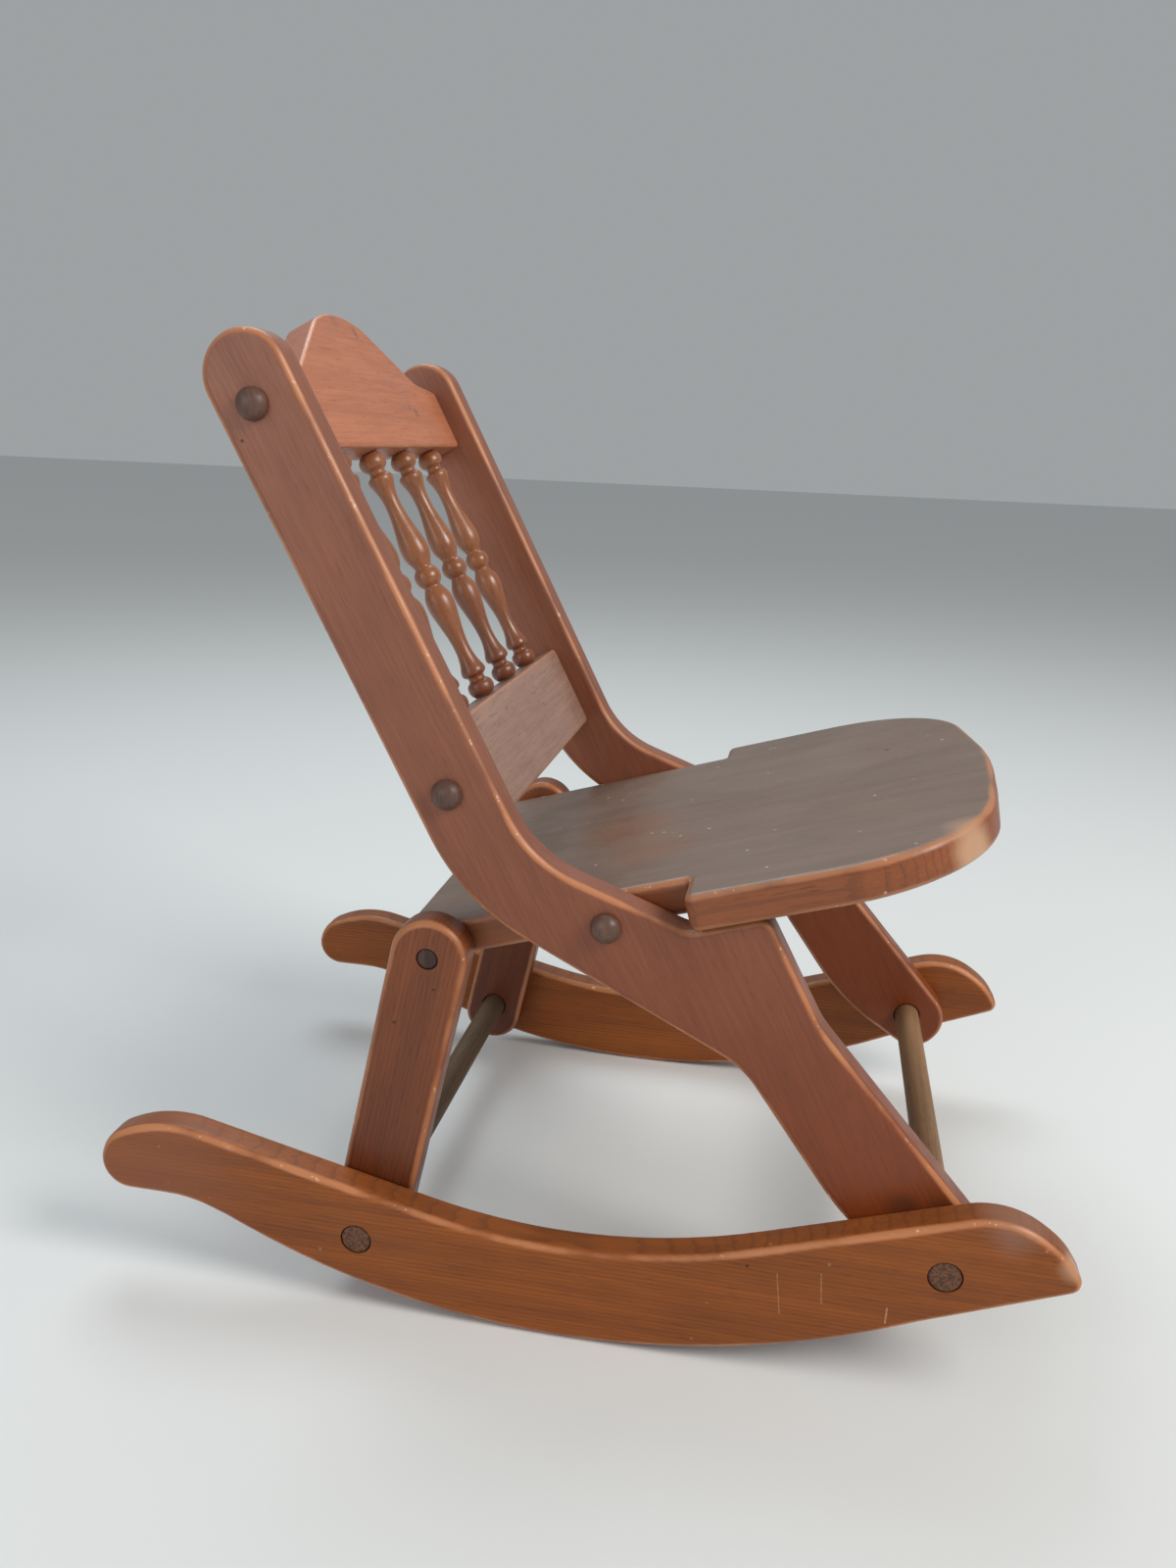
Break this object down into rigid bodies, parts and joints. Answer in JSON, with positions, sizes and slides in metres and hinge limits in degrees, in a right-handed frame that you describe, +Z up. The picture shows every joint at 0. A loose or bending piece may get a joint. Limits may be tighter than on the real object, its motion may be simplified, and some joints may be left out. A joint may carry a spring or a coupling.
{
  "type": "child's folding rocking chair",
  "caption": "Small folding rocking chair in stained hardwood, with a turned spindle back, a rounded seat board and curved rockers.",
  "frame": {"origin": "on the floor, under the middle of the chair's length and width", "axes": "+Z up, the chair's front faces -Y, +X to the left of someone sitting in it"},
  "size_m": [0.319, 0.4992, 0.5053],
  "materials": {
    "board": "satin red-brown stain",
    "rocker": "satin orange-brown stain",
    "seat": "satin brown stain, dulled by wear",
    "rail": "satin orange-brown stain",
    "turned": "glossy honey-brown stain",
    "dowel": "dull pale brown",
    "button": "satin dark brown",
    "screw": "zinc plated"
  },
  "bodies": {
    "rockers": {"rocker_right": "rocker", "rocker_left": "rocker", "rear_dowel": "dowel", "front_dowel": "dowel"},
    "side_frames": {"side_frame_right": "board", "side_frame_left": "board", "crest_rail": "rail", "lower_back_rail": "rail", "spindle_1": "turned", "spindle_2": "turned", "spindle_3": "turned", "spindle_4": "turned", "crest_screw_right": "screw", "crest_screw_left": "screw", "lower_rail_screw_right": "screw", "lower_rail_screw_left": "screw", "seat_pivot_screw_right": "screw", "seat_pivot_screw_left": "screw", "crest_button_right": "button", "crest_button_left": "button", "lower_rail_button_right": "button", "lower_rail_button_left": "button", "seat_pivot_button_right": "button", "seat_pivot_button_left": "button"},
    "seat": {"seat_board": "seat"},
    "rear_legs": {"rear_leg_right": "board", "rear_leg_left": "board", "rear_pivot_screw_right": "screw", "rear_pivot_screw_left": "screw", "rear_pivot_plug_right": "button", "rear_pivot_plug_left": "button"}
  },
  "joints": [
    {"name": "back_fold", "type": "hinge", "parent": "rockers", "child": "side_frames", "pos_m": [0, -0.188, 0.07], "axis": [-1, 0, 0], "range_deg": [0, 6.65]},
    {"name": "seat_fold", "type": "hinge", "parent": "side_frames", "child": "seat", "pos_m": [0, -0.015, 0.221], "axis": [-1, 0, 0], "range_deg": [0, 88]},
    {"name": "rear_leg_fold", "type": "hinge", "parent": "rockers", "child": "rear_legs", "pos_m": [0, 0.106, 0.0405], "axis": [1, 0, 0], "range_deg": [0, 50.51]}
  ],
  "couplings": [
    {"joint": "back_fold", "follows": "seat_fold", "ratio": 0.0755},
    {"joint": "rear_leg_fold", "follows": "seat_fold", "ratio": 0.5739}
  ]
}
